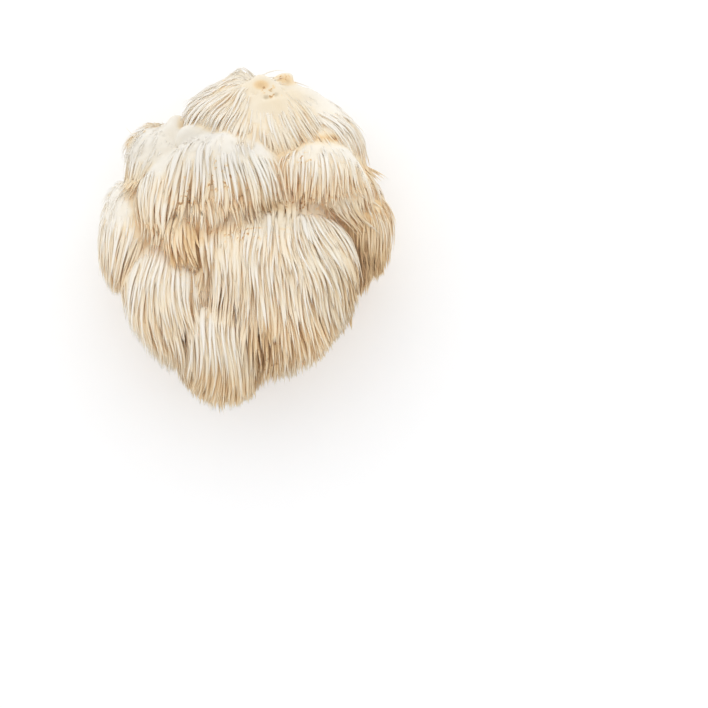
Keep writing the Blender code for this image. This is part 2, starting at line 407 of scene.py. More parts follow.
# Flesh that fills the deepest folds between lobes, as (centre, radii).
FILLS = (
    ((-0.0160, 0.0385, 0.0550), (0.0120, 0.0060, 0.0110)),
    ((-0.0290, 0.0400, 0.0440), (0.0070, 0.0080, 0.0120)),
    ((-0.0400, 0.0185, 0.0380), (0.0080, 0.0080, 0.0120)),
    ((0.0150, 0.0330, 0.0560), (0.0090, 0.0070, 0.0120)),
    ((0.0015, 0.0345, 0.0600), (0.0090, 0.0070, 0.0125)),
)

# Pits in the scar, as (centre, radius, depth).
SCAR_PITS = (
    ((0.0085, 0.0543, 0.0680), 0.0020, 0.0035),
    ((0.0120, 0.0553, 0.0660), 0.0018, 0.0030),
    ((0.0040, 0.0545, 0.0660), 0.0010, 0.0012),
    ((0.0150, 0.0570, 0.0600), 0.0010, 0.0012),
)

# The flesh's mesh. Its lumps are given as (wavelength, size).
EGG_GRID = (18, 28)
BUMP_GRID = (12, 18)
LEAST_RISE = 0.15
VOXEL = 0.0009
SMOOTHINGS = 20
LUMPS = ((0.012, 0.0004), (0.005, 0.00022))
LUMPS_FROM = 0.004

# The flesh's colour, from open places to the deepest in the fur: cream in the open, and
# painted shade, tan and then ochre, deep in the fur. Stains move along it too.
FLESH_AND_SHADE_COLOURS = (
    (0.12, (0.92, 0.890, 0.830)),
    (0.30, (0.92, 0.865, 0.760)),
    (0.50, (0.92, 0.818, 0.640)),
    (0.66, (0.91, 0.758, 0.530)),
    (0.80, (0.88, 0.690, 0.420)),
    (1.00, (0.64, 0.420, 0.230)),
)

# What sets how deep the colour lies. Shelter, shade, drop, along and under are painted shade:
# deep in the fur, in deep lobes, towards the hems, at spines' roots and on their undersides.
# Tone, patches, flecks and mottle are the mushroom's own colour, and the stains and the
# dullness are both. Noise is given as (scale, share).
SHELTER_FROM = 0.42
FACT_SHARES = (("shade", 0.5), ("drop", 0.25), ("tone", 0.10))
PATCHES = (70.0, 0.35)
ALONG_SHARE = 0.12
UNDER_SHARE = 0.20
DEEP_SHARE = 0.8
STAIN_AND_SHADE_SHARE = 0.35
FLECK_NOISE = (500.0, 8.0)
FLECK_FROM = 0.58
BRIGHT = 1.04
DULL_AND_SHADE_SHARE = 0.16
MOTTLE = (160.0, 0.06)

# The skin's finish.
SPINE_SKIN = Skin(grain=900.0, along_grain=0.3, grain_depth=0.0001, cover=0.72, base=0.04)
FLESH_SKIN = Skin(grain=1100.0, along_grain=0.15, grain_depth=0.0005, cover=0.75, base=0.22)
GRAIN_ALONG_Z = 0.6
GRAIN_DETAIL = 3.0
ROUGHNESS = (0.45, 0.3)
BUMP_STRENGTH = 0.5
FINISH = {
    "Specular IOR Level": 0.12,
    "Diffuse Roughness": 1.0,
    "Sheen Weight": 0.06,
    "Sheen Roughness": 0.5,
    "Sheen Tint": (1.0, 0.95, 0.88, 1.0),
}

# The studio. Each lamp is (place, size, energy, colour).
FLOOR_SIZE = 3.0
FLOOR_COLOUR = (0.89, 0.90, 0.915, 1.0)
FLOOR_ROUGHNESS = 0.7
FLOOR_GLOW = 0.13
WHITE = (1.0, 1.0, 1.0)
WORLD_STRENGTH = 0.87
KEY_LAMP = ((0.20, 0.45, 1.15), 1.8, 3.6, WHITE)
FILL_LAMP = ((-0.60, 0.40, 0.80), 1.2, 0.8, (1.0, 0.97, 0.92))
BOUNCES = 24
DIFFUSE_BOUNCES = 16

# The camera, which looks straight down. Its focal length is given in pixels.
CAMERA_PLACE = (0.0426, -0.0472, 1.04)
FOCAL_PIXELS = 2500
IMAGE_WIDTH = 708
SENSOR = 36.0


def each_lobe(field):
    """One field of all lobes, as an array."""
    return np.array([getattr(lobe, field) for lobe in LOBES], float)


CENTRES = each_lobe("centre") + (0.0, INSET_TOP, 0.0)
SIDE_RADII = each_lobe("radii")[:, [0, 2]] - INSET_SIDE
TOP_RADII = each_lobe("radii")[:, 1] - 2 * INSET_TOP
SKIRTS = each_lobe("skirt")
DEPTHS = np.maximum(SKIRTS - HEM_ABOVE, LEAST_DEPTH)
LEANS = each_lobe("lean")
RISES = each_lobe("side_rise")
SLANTS = each_lobe("slant")
LENGTHS = each_lobe("length")
SHADES = each_lobe("shade")
TURNS = each_lobe("turn")
HANGS = each_lobe("hang")
FANS = each_lobe("fan")
FLARES = each_lobe("flare")
COMBS = each_lobe("comb")
BARES = each_lobe("bare")
BALDS = each_lobe("bald")
FINES = each_lobe("fine")
PARTINGS = np.array([way / np.linalg.norm(way) for way in each_lobe("parting")])


def unit(vectors):
    return vectors / np.maximum(np.linalg.norm(vectors, axis=-1, keepdims=True), 1e-12)


def core_field(points, which):
    """Distance of each point to the core of its lobe, below 0 inside it, and the way out."""
    offset = points - CENTRES[which]
    share = np.clip(-offset[..., 1] / DEPTHS[which], 0.0, MOST_LEAN)
    x = (offset[..., 0] - LEANS[which][..., 0] * share) / SIDE_RADII[which][..., 0]
    z = (offset[..., 2] - LEANS[which][..., 1] * share) / SIDE_RADII[which][..., 1]
    above = offset[..., 1] > 0.0
    height = np.where(above, TOP_RADII[which], DEPTHS[which])
    y = offset[..., 1] / height
    power = np.where(above, 2.0, BOTTOM_POWER)
    side = np.sqrt(x**2 + z**2) + 1e-9
    level = np.maximum((side**power + np.abs(y)**power) ** (1.0 / power), 1e-4)
    outer = level ** (1.0 - power)
    along_side = outer * side ** (power - 2.0)
    gradient = np.stack([
        along_side * x / SIDE_RADII[which][..., 0],
        outer * np.abs(y) ** (power - 1.0) * np.sign(y) / height,
        along_side * z / SIDE_RADII[which][..., 1],
    ], axis=-1)
    steepness = np.linalg.norm(gradient, axis=-1)
    return (level - 1.0) / steepness, gradient / steepness[..., None]


def nearest_core(points, skip=None):
    """The least distance to any core, the way out of that core and which it is."""
    which = np.arange(len(LOBES))[None, :] + np.zeros((len(points), 1), int)
    distance, outward = core_field(points[:, None, :] + np.zeros((1, len(LOBES), 1)), which)
    if skip is not None:
        distance[np.arange(len(points)), skip] = np.inf
    best = np.argmin(distance, axis=1)
    rows = np.arange(len(points))
    return distance[rows, best], outward[rows, best], best


def ripple(points, wavelength, rng, waves=5):
    """A smooth wandering vector field with components of about -1 to 1."""
    field = np.zeros_like(points)
    for _ in range(waves):
        way = unit(rng.normal(size=3)) * math.tau / (wavelength * rng.uniform(*WAVE_SPREAD))
        phase = rng.uniform(0.0, math.tau, 3)
        field += np.sin((points @ way)[..., None] + phase)
    return field / math.sqrt(waves)


def warp(points):
    """Bends the whole mushroom a little, so that no lobe is a plain egg."""
    for centre, shift, radius in BULGES:
        away = ((points - np.array(centre)) ** 2).sum(axis=-1, keepdims=True) / radius**2
        points = points + np.array(shift) * np.exp(-away)
    rng = np.random.default_rng(SEED + 1)
    bend = sum(size * ripple(points, wavelength, rng, BEND_WAVES) for wavelength, size in BENDS)
    wavelength, size = BEND_UP
    bend[..., 2] = size * ripple(points, wavelength, rng, BEND_WAVES)[..., 2]
    return points + bend * np.clip(points[..., 2:] / BEND_FROM, 0.0, 1.0)


def roots_on(index, rng):
    """Points spread evenly over the open part of one core, and which of them bear mere down."""
    ways = unit(rng.normal(size=(ROOT_TRIES, 3)))
    height = np.where(ways[:, 1] > 0.0, TOP_RADII[index], DEPTHS[index])
    power = np.where(ways[:, 1] > 0.0, 2.0, BOTTOM_POWER)
    side = np.hypot(ways[:, 0], ways[:, 2])
    scale = (side**power + np.abs(ways[:, 1]) ** power) ** (-1.0 / power)
    ways = ways * scale[:, None]
    share = np.clip(-ways[:, 1], 0.0, 1.0)
    points = CENTRES[index] + np.stack([
        ways[:, 0] * SIDE_RADII[index, 0] + LEANS[index, 0] * share,
        ways[:, 1] * height,
        ways[:, 2] * SIDE_RADII[index, 1] + LEANS[index, 1] * share,
    ], axis=1)
    spacing = SPACING * FINES[index]
    cells = {}
    for number, key in enumerate(map(tuple, np.floor(points / spacing).astype(int))):
        cells.setdefault(key, number)
    points = points[sorted(cells.values())]
    distance, _, _ = nearest_core(points, skip=np.full(len(points), index))
    height = (points[:, 1] - CENTRES[index, 1]) / TOP_RADII[index]
    height = height + rng.normal(scale=BALD_EDGE, size=len(points))
    downy = height > BALDS[index]
    kept = (distance > CREVICE) & (points[:, 2] > ROOT_LEAST_Z)
    kept &= ~downy | (distance > DOWN_CLEAR)
    points, downy = points[kept], downy[kept]
    return points + rng.normal(scale=SCATTER * SPACING, size=points.shape), downy


def grow(roots, which, short, downy, rng):
    """Paths of the spines from their roots, as (spine, step, xyz)."""
    count = len(roots)
    buried = rng.uniform(*BURIED, count) * (BURIED_LEAST + BARES[which])
    buried = np.where(downy, rng.uniform(*DOWN_BURIED, count), buried)
    rate = rng.uniform(*LIFT_RATE, count)
    most = rng.uniform(*LIFT_MOST, count)
    most = most * np.where(downy, DOWN_LIFT, 1.0) * np.minimum(FINES[which], 1.0)
    rate = np.where(short, rate * SHORT_LIFT, rate)
    stray = rng.random(count) < np.where(downy, DOWN_STRAYS, 1.0) * STRAY_SHARE
    rate = np.where(stray, rng.uniform(*STRAY_RATE, count), rate)
    most = np.where(stray, rng.uniform(*STRAY_MOST, count), most)
    gap = rng.uniform(*GAP, count)
    swerve = unit(rng.normal(size=(count, 3)))
    swerve = swerve * np.minimum(rng.gamma(*SWERVE, (count, 1)), SWERVE_MOST)
    _, normal = core_field(roots, which)
    point = roots - buried[:, None] * normal
    path = [point]
    climbed = np.zeros(count)
    most_climb = rng.uniform(*MOST_CLIMB, count)
    heading = None
    for step in range(1, STEPS + 1):
        run = step * STEP
        _, normal = core_field(point, which)
        offset = point - CENTRES[which]
        side = np.clip(offset[:, 0] / SIDE_RADII[which, 0], -1.0, 1.0)
        sideways = HANGS[which] + FANS[which] * side + FLARES[which] * side**2
        hang = np.stack([sideways, np.full(count, -1.0), np.zeros(count)], axis=1)
        turn = np.clip(run / TURNS[which], 0.0, 1.0)[:, None]
        pull = unit((1.0 - turn) * -PARTINGS[which] + turn * unit(hang) + 1e-6)
        along = unit(pull - (pull * normal).sum(1, keepdims=True) * normal)
        combed = np.cross(np.cross(hang, (0.0, 0.0, 1.0)), normal)
        combed *= np.sign((combed * pull).sum(1, keepdims=True))
        facing = np.linalg.norm(combed, axis=1, keepdims=True)
        facing = facing / np.linalg.norm(hang, axis=1, keepdims=True)
        level = COMBS[which, None] * facing**2
        along = unit((1.0 - level) * along + level * unit(combed))
        below = np.clip(-offset[:, 1] / SKIRTS[which], 0.0, 1.0)[:, None]
        aim = unit(along * (1.0 - HANG_PULL * below) + unit(hang) * HANG_PULL * below + swerve)
        if heading is None:
            heading = unit(aim + LEAVE_FLESH * normal)
        else:
            heading = unit(INERTIA * heading + (1.0 - INERTIA) * aim)
        point = point + STEP * heading
        distance, normal = core_field(point, which)
        lift = np.minimum(-buried + rate * run, most)
        point = point + np.maximum(lift - distance, 0.0)[:, None] * normal
        for _ in range(CLIMBS):
            distance, outward, _ = nearest_core(point, skip=which)
            room = np.minimum(gap, -buried + CLIMB_RATE * run)
            open_above = (outward[:, 2] > CLIMB_LEAST_SLOPE) & (climbed < most_climb)
            climb = np.clip(room - distance, 0.0, CLIMB_STEP) * open_above
            point[:, 2] += climb / np.maximum(outward[:, 2], CLIMB_LEAST_SLOPE)
            climbed += climb
        point[:, 2] = np.maximum(point[:, 2], LEAST_Z)
        path.append(point)
    path = np.stack(path, axis=1)
    for _ in range(SMOOTH_ROUNDS):
        path[:, 1:-1] = (path[:, :-2] + 2.0 * path[:, 1:-1] + path[:, 2:]) / 4.0
    return path


def trim(path, which, short, downy, rng):
    """Cuts each spine at its own length or at its lobe's hem, and lays even points on it."""
    count = len(path)
    pieces = np.linalg.norm(np.diff(path, axis=1), axis=2)
    run = np.concatenate([np.zeros((count, 1)), np.cumsum(pieces, axis=1)], axis=1)
    wanted = LENGTHS[which] * rng.uniform(*LENGTH_SPREAD, count)
    wanted = np.where(short, wanted * SHORT_LENGTH, wanted)
    wanted = np.where(downy, rng.uniform(*DOWN_LENGTH, count), wanted)
    side = (path[..., 0] - CENTRES[which, 0][:, None]) / (SIDE_RADII[which, 0][:, None] + INSET_SIDE)
    side = np.clip(side, -SIDE_MOST, SIDE_MOST)
    share = 1.0 - RISES[which][:, None] * side**2 + SLANTS[which][:, None] * side
    hem = CENTRES[which, 1][:, None] - INSET_TOP - SKIRTS[which][:, None] * share
    hem = hem - (TIP_SPREAD * rng.beta(*TIP_BETA, count))[:, None]
    beyond = path[..., 1] < hem
    first = np.where(beyond.any(axis=1), beyond.argmax(axis=1), STEPS)
    length = np.minimum(wanted, run[np.arange(count), first])
    kept = length > LEAST_LENGTH
    path, run, length = path[kept], run[kept], length[kept]
    targets = length[:, None] * RING_SHARES
    index = np.clip((run[:, None, :] <= targets[:, :, None]).sum(axis=2) - 1, 0, STEPS - 1)
    rows = np.arange(len(path))[:, None]
    low, high = run[rows, index], run[rows, index + 1]
    mix = ((targets - low) / np.maximum(high - low, 1e-9))[..., None]
    return path[rows, index] * (1.0 - mix) + path[rows, index + 1] * mix, length, kept


def gather(path, which, rng):
    """Draws the spines' ends together in loose clumps."""
    shares = np.linspace(0.0, 1.0, path.shape[1])[None, :, None]
    leaders = np.flatnonzero(rng.random(len(path)) < CLUMP_SHARE)
    middle = path[:, path.shape[1] // 2]
    for start in range(0, len(path), CHUNK):
        rows = slice(start, start + CHUNK)
        apart = np.linalg.norm(middle[rows, None, :] - middle[None, leaders, :], axis=2)
        apart += OTHER_LOBE * (which[rows, None] != which[None, leaders])
        best = apart.argmin(axis=1)
        near = apart[np.arange(len(best)), best]
        pull = CLUMP_PULL * np.clip(1.0 - near / CLUMP_REACH, 0.0, 1.0)
        goal = path[leaders[best]]
        path[rows] = path[rows] + (goal - path[rows]) * pull[:, None, None] * shares**CLUMP_POWER
    return path


def crowding(path, radius):
    """The share of each cell of space that spines fill, as (grid, its lowest corner)."""
    place = np.linspace(0.0, 1.0, SAMPLES) * (path.shape[1] - 1)
    index = np.minimum(place.astype(int), path.shape[1] - 2)
    mix = (place - index)[None, :, None]
    points = path[:, index] * (1.0 - mix) + path[:, index + 1] * mix
    length = np.linalg.norm(np.diff(path, axis=1), axis=2).sum(axis=1)
    volume = math.pi * radius**2 * length / SAMPLES / CELL**3
    low = points.min(axis=(0, 1)) - (REACH + 2) * CELL
    cells = ((points - low) / CELL).astype(int)
    shape = cells.max(axis=(0, 1)) + REACH + 3
    flat = np.ravel_multi_index(cells.reshape(-1, 3).T, shape)
    grid = np.bincount(flat, np.repeat(volume, SAMPLES), int(np.prod(shape))).reshape(shape)
    for axis in range(3):
        grid = 0.5 * grid + 0.25 * np.roll(grid, 1, axis) + 0.25 * np.roll(grid, -1, axis)
    return grid, low


def shelter(points, normals, grid, low):
    """How much the spines above it hide each point: 0 in the open, and 1 deep inside."""
    turns = np.arange(RAYS) * math.pi * (3.0 - math.sqrt(5.0))
    heights = 1.0 - (2.0 * np.arange(RAYS) + 1.0) / RAYS
    sides = np.sqrt(1.0 - heights**2)
    ways = np.stack([sides * np.cos(turns), sides * np.sin(turns), heights], axis=1)
    seen = np.zeros(len(points))
    whole = np.zeros(len(points))
    top = np.array(grid.shape) - 1
    for way in ways:
        weight = np.clip(normals @ way, 0.0, 1.0)
        passed = np.zeros(len(points))
        for step in range(1, REACH + 1):
            cells = ((points + way * (step * CELL) - low) / CELL).astype(int)
            cells = np.clip(cells, 0, top)
            passed += grid[cells[:, 0], cells[:, 1], cells[:, 2]]
        seen += weight * np.exp(-BLOCKING * passed)
        whole += weight
    return 1.0 - seen / np.maximum(whole, 1e-6)


def woven(*columns):
    """The numbers of these columns, taken in turn from each."""
    return np.stack(columns, axis=1).reshape(-1)


def tube_faces():
    """The faces of one pointed tube, as (corners, their places in its map cell, face sizes)."""
    one = np.arange(SIDES)
    after = (one + 1) % SIDES
    left, right = one / SIDES, (one + 1) / SIDES
    rows = MAP_TUBE_FROM + (1.0 - MAP_TUBE_FROM) * RING_SHARES
    round_end = math.tau * one[::-1] / SIDES
    corners = [one[::-1]]
    across = [MAP_END_MIDDLE[0] + MAP_END_RADII[0] * np.cos(round_end)]
    along = [MAP_END_MIDDLE[1] + MAP_END_RADII[1] * np.sin(round_end)]
    sizes = [SIDES]
    for k in range(RINGS - 1):
        low, high = k * SIDES, (k + 1) * SIDES
        below, above = np.full(SIDES, rows[k]), np.full(SIDES, rows[k + 1])
        corners.append(woven(low + one, low + after, high + after, high + one))
        across.append(woven(left, right, right, left))
        along.append(woven(below, below, above, above))
        sizes += [4] * SIDES
    last = (RINGS - 1) * SIDES
    below = np.full(SIDES, rows[RINGS - 1])
    corners.append(woven(last + one, last + after, np.full(SIDES, RINGS * SIDES)))
    across.append(woven(left, right, (left + right) / 2))
    along.append(woven(below, below, np.ones(SIDES)))
    sizes += [3] * SIDES
    places = np.stack([np.concatenate(across), np.concatenate(along)], axis=1)
    return np.concatenate(corners), places, np.array(sizes)


def spine_mesh(name, path, radius, facts, ring_facts, normals, rng):
    """One closed, pointed tube along each path, with a cell of the OFBake map for each."""
    count = len(path)
    tangent = unit(np.gradient(path, axis=1))
    up = unit(normals - (normals * tangent).sum(axis=2, keepdims=True) * tangent)
    across = np.cross(tangent, up)
    roll = math.pi / 4 + rng.uniform(-ROLL, ROLL, (count, 1, 1))
    turns = roll + np.arange(SIDES) * math.tau / SIDES
    taper = np.clip(1.0 - RING_SHARES[:RINGS] ** TAPER[0], 0.0, 1.0) ** TAPER[1]
    girth = radius[:, None] * taper
    ring = (
        path[:, :RINGS, None, :]
        + (girth[..., None] * np.cos(turns))[..., None] * up[:, :RINGS, None, :] * FLATNESS
        + (girth[..., None] * np.sin(turns))[..., None] * across[:, :RINGS, None, :]
    )
    each = RINGS * SIDES + 1
    points = np.concatenate([ring.reshape(count, RINGS * SIDES, 3), path[:, -1:, :]], axis=1)
    corners, places, sizes = tube_faces()
    first = (np.arange(count) * each)[:, None]
    loops = (first + corners[None, :]).reshape(-1)
    sizes = np.tile(sizes, count)
    starts = np.concatenate([[0], np.cumsum(sizes)[:-1]])
    cells = math.ceil(math.sqrt(count))
    corner = np.stack([np.arange(count) % cells, np.arange(count) // cells], axis=1)[:, None, :]
    places = (corner + MAP_MARGIN + (1.0 - 2.0 * MAP_MARGIN) * places[None]) / cells
    mesh = bpy.data.meshes.new(name)
    mesh.vertices.add(count * each)
    mesh.vertices.foreach_set("co", points.astype(np.float32).reshape(-1))
    mesh.loops.add(len(loops))
    mesh.loops.foreach_set("vertex_index", loops.astype(np.int32))
    mesh.polygons.add(len(sizes))
    mesh.polygons.foreach_set("loop_start", starts.astype(np.int32))
    layer = mesh.uv_layers.new(name="OFBake")
    layer.uv.foreach_set("vector", places.astype(np.float32).reshape(-1))
    # along runs from 0 at a spine's root to 1 at its tip, and under from 0 on its top to 1 on its
    # underside: the material paints shade at roots and on undersides.
    along = np.concatenate([np.repeat(RING_SHARES[:RINGS], SIDES), [1.0]])
    under = np.broadcast_to(0.5 - 0.5 * np.cos(turns), (count, RINGS, SIDES))
    under = under.reshape(count, RINGS * SIDES)
    under = np.concatenate([under, np.full((count, 1), TIP_UNDER)], axis=1)
    values = {"along": np.tile(along, count), "under": under.ravel()}
    for key, value in ring_facts.items():
        around = np.repeat(value[:, :RINGS], SIDES, axis=1)
        values[key] = np.concatenate([around, value[:, -1:]], axis=1).ravel()
    values.update({key: np.repeat(fact, each) for key, fact in facts.items()})
    add_facts(mesh, values)
    mesh.update(calc_edges=True)
    mesh.shade_smooth()
    return mesh


def add_facts(mesh, facts):
    """Writes each fact to the mesh's points, where the material reads it by its name."""
    for key, values in facts.items():
        attribute = mesh.attributes.new(key, "FLOAT", "POINT")
        attribute.data.foreach_set("value", values.astype(np.float32))


def drop_at(points, which):
    """0 on the shoulder of each point's lobe, and 1 at its hem. The material paints shade
    with it, darker towards the hem.
    """
    top = SHOULDER * TOP_RADII[which]
    drop = CENTRES[which, 1] + top - points[..., 1]
    return np.clip(drop / (top + SKIRTS[which] + TIPS_BELOW), 0.0, 1.0)


def marks_at(points, marks):
    """How strongly the nearest of these marks shows at each point: stains, flecks and painted
    shade alike.
    """
    stain_and_shade = np.zeros(points.shape[:-1])
    for centre, radii, strength in marks:
        away = (((points - np.array(centre)) / np.array(radii)) ** 2).sum(axis=-1)
        stain_and_shade = np.maximum(stain_and_shade, strength * np.exp(-(away**2)))
    return stain_and_shade


def place_facts(points, which):
    """What the material reads at each point, apart from its shelter and its lobe's shade."""
    return {
        "drop": drop_at(points, which),
        "stain_and_shade": marks_at(points, STAINS_AND_SHADE),
        "fleck": marks_at(points, FLECKS),
        "dull_and_shade": marks_at(points, DULL_AND_SHADE),
    }


def add_piece(name, mesh, material):
    piece = bpy.data.objects.new(name, mesh)
    bpy.context.scene.collection.objects.link(piece)
    mesh.materials.append(material)
    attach(piece, "root")
    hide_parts(NODE)
    return piece


def row_hairs(row):
    """The loose strands of one row, as (start, bend and tip, radius)."""
    hairs = []
    for k in range(row.count):
        starts = row.start_drop[0] * (k % row.start_drop[1])
        tips = row.tip_drop[0] * (k % row.tip_drop[1])
        places = (
            row.start[0] + row.steps[0] * k, row.start[1] - starts,
            row.bend[0] + row.steps[1] * k, row.bend[1],
            row.tip[0] + row.steps[2] * k, row.tip[1] - tips,
        )
        hairs.append((places, row.radius + ROW_GIRTH * (k % 3)))
    return hairs


def surface_height(x, y):
    """How high the cores reach at each place."""
    heights = np.arange(*SURFACE_HEIGHTS)
    points = np.stack(np.broadcast_arrays(x[..., None], y[..., None], heights), axis=-1)
    distance, _, _ = nearest_core(points.reshape(-1, 3))
    inside = distance.reshape(points.shape[:-1]) < 0.0
    return np.where(inside, heights, 0.0).max(axis=-1)


def loose_paths(hairs):
    """The loose hairs' paths: curves that lie on the lobes and run on level past their edges."""
    share = np.linspace(0.0, 1.0, RINGS + 1)[None, :, None]
    places = np.array([place for place, _ in hairs])[:, None, :]
    start, bend, tip = places[..., 0:2], places[..., 2:4], places[..., 4:6]
    flat = start * (1.0 - share) ** 2 + 2.0 * bend * share * (1.0 - share) + tip * share**2
    height = surface_height(flat[..., 0], flat[..., 1])
    for step in range(1, RINGS + 1):
        height[:, step] = np.maximum(height[:, step], height[:, step - 1] - LOOSE_FALL)
    height += np.linspace(*LOOSE_HEIGHTS, RINGS + 1)
    return np.concatenate([flat, height[..., None]], axis=2)


def all_spines(material, rng):
    """Adds the spines of each group of lobes as one piece, and returns how they crowd."""
    roots, downy = zip(*(roots_on(index, rng) for index in range(len(LOBES))))
    which = np.concatenate([np.full(len(points), index) for index, points in enumerate(roots)])
    roots, downy = np.concatenate(roots), np.concatenate(downy)
    scar = [np.linalg.norm((roots - centre) / radii, axis=1) for centre, radii in BARE_SPOTS]
    scar = np.min(scar, axis=0)
    downy |= scar < SCAR_DOWN
    kept = (scar > 1.0) & (~downy | (rng.random(len(roots)) < DOWN_SHARE))
    roots, which, downy = roots[kept], which[kept], downy[kept]
    short = rng.random(len(roots)) < SHORT_SHARE
    path = grow(roots, which, short, downy, rng)
    path, length, kept = trim(path, which, short, downy, rng)
    which, downy = which[kept], downy[kept]
    path = gather(path, which, rng)
    radius = RADIUS[0] + (RADIUS[1] - RADIUS[0]) * rng.beta(*RADIUS_BETA, len(path))
    girth = np.clip(length / FULL_LENGTH, *GIRTH_BY_LENGTH) * np.where(downy, DOWN_GIRTH, 1.0)
    radius *= girth * FINES[which]
    hairs = list(LOOSE_HAIRS) + [hair for row in STRAND_ROWS for hair in row_hairs(row)]
    loose = loose_paths(hairs)
    path = warp(np.concatenate([path, loose]))
    radius = np.concatenate([radius, [thickness for _, thickness in hairs]])
    _, _, nearest = nearest_core(loose[:, 0])
    which = np.concatenate([which, nearest])
    flat = path.reshape(-1, 3)
    _, normals = core_field(flat, np.repeat(which, path.shape[1]))
    grid, low = crowding(path, radius)
    sheltered = shelter(flat, normals, grid, low).reshape(path.shape[:2])
    normals = normals.reshape(path.shape)
    seen = sheltered.min(axis=1) < HIDDEN
    path, normals, sheltered = path[seen], normals[seen], sheltered[seen]
    which, radius = which[seen], radius[seen]
    facts = {"tone": rng.random(len(path)), "shade": SHADES[which]}
    ring_facts = {"shelter": sheltered, **place_facts(path, which[:, None])}
    groups = np.array([LOBES[index].group for index in which])
    for group in dict.fromkeys(lobe.group for lobe in LOBES):
        rows = groups == group
        mesh = spine_mesh(
            "spines_" + group,
            path[rows],
            radius[rows],
            {key: fact[rows] for key, fact in facts.items()},
            {key: fact[rows] for key, fact in ring_facts.items()},
            normals[rows],
            rng,
        )
        add_piece(mesh.name, mesh, material)
    return grid, low


def small_sphere(centre, radii):
    """A closed mesh of one bump, as (points, faces)."""
    rings, around = BUMP_GRID
    slopes = np.linspace(0.0, math.pi, rings + 1)[:, None]
    angles = (np.arange(around) * math.tau / around)[None, :]
    ways = np.stack(np.broadcast_arrays(
        np.sin(slopes) * np.cos(angles), np.cos(slopes), np.sin(slopes) * np.sin(angles)
    ), axis=-1)
    points = (np.array(centre) + ways * np.array(radii)).reshape(-1, 3)
    return points, grid_faces(rings, around)


def grid_faces(rings, around):
    faces = []
    for ring in range(rings):
        for turn in range(around):
            after = (turn + 1) % around
            low, high = ring * around, (ring + 1) * around
            faces.append((low + turn, low + after, high + after, high + turn))
    return faces


def egg_sphere(index):
    """A closed mesh of one core, as (points, faces). Its lower end rises as its hem does."""
    rings, around = EGG_GRID
    points = []
    for ring in range(rings + 1):
        slope = math.pi * ring / rings
        y, side = math.cos(slope), math.sin(slope)
        power = 2.0 if y > 0.0 else BOTTOM_POWER
        scale = (side**power + abs(y) ** power) ** (-1.0 / power)
        height = TOP_RADII[index] if y > 0.0 else DEPTHS[index]
        share = max(0.0, -y * scale)
        for turn in range(around):
            angle = math.tau * turn / around
            across = side * scale * math.cos(angle)
            rise = 1.0
            if y < 0.0:
                rise = 1.0 - RISES[index] * across**2 + SLANTS[index] * across
            points.append(CENTRES[index] + np.array((
                across * SIDE_RADII[index, 0] + LEANS[index, 0] * share,
                y * scale * height * min(max(rise, LEAST_RISE), 1.0),
                side * scale * math.sin(angle) * SIDE_RADII[index, 1] + LEANS[index, 1] * share,
            )))
    return points, grid_faces(rings, around)


def flesh_mesh(rng):
    """All cores and the flesh behind them as one skin, cut off flat at z = 0."""
    points, faces = [], []
    solids = [egg_sphere(index) for index in range(len(LOBES))]
    solids += [small_sphere(centre, radii) for centre, radii in SCAR_BUMPS + FILLS]
    for some_points, some_faces in solids:
        faces += [tuple(corner + len(points) for corner in face) for face in some_faces]
        points += [tuple(point) for point in some_points]
    mesh = bpy.data.meshes.new("flesh_blank")
    mesh.from_pydata(points, [], faces)
    blank = bpy.data.objects.new("flesh_blank", mesh)
    bpy.context.scene.collection.objects.link(blank)
    bm = bmesh.new()
    bm.from_mesh(mesh)
    bmesh.ops.remove_doubles(bm, verts=bm.verts, dist=1e-6)
    bmesh.ops.recalc_face_normals(bm, faces=bm.faces)
    bm.to_mesh(mesh)
    bm.free()
    remesh = blank.modifiers.new("remesh", "REMESH")
    remesh.mode = "VOXEL"
    remesh.voxel_size = VOXEL
    smooth = blank.modifiers.new("smooth", "SMOOTH")
    smooth.iterations = SMOOTHINGS
    graph = bpy.context.evaluated_depsgraph_get()
    done = bpy.data.meshes.new_from_object(blank.evaluated_get(graph))
    bpy.data.objects.remove(blank)
    bm = bmesh.new()
    bm.from_mesh(done)
    everything = bm.verts[:] + bm.edges[:] + bm.faces[:]
    cut = bmesh.ops.bisect_plane(
        bm, geom=everything, plane_co=(0, 0, 0), plane_no=(0, 0, -1), clear_outer=True, dist=1e-6
    )
    edges = [item for item in cut["geom_cut"] if isinstance(item, bmesh.types.BMEdge)]
    bmesh.ops.contextual_create(bm, geom=edges)
    bm.to_mesh(done)
    bm.free()
    done.name = "flesh"
    points, normals = points_and_normals(done)
    above = np.clip(points[:, 2] / LUMPS_FROM, 0.0, 1.0)[:, None]
    lumps = sum(ripple(points, wavelength, rng)[:, :1] * size for wavelength, size in LUMPS)
    points = warp(points + lumps * normals * above)
    for centre, radius, depth in SCAR_PITS:
        away = np.linalg.norm(points - np.array(centre), axis=1) / radius
        points = points - (depth * np.exp(-(away**2)))[:, None] * normals
    done.vertices.foreach_set("co", points.astype(np.float32).reshape(-1))
    done.update()
    done.shade_smooth()
    return done


def points_and_normals(mesh):
    points = np.array([vertex.co for vertex in mesh.vertices])
    normals = np.array([vertex.normal for vertex in mesh.vertices])
    return points, normals


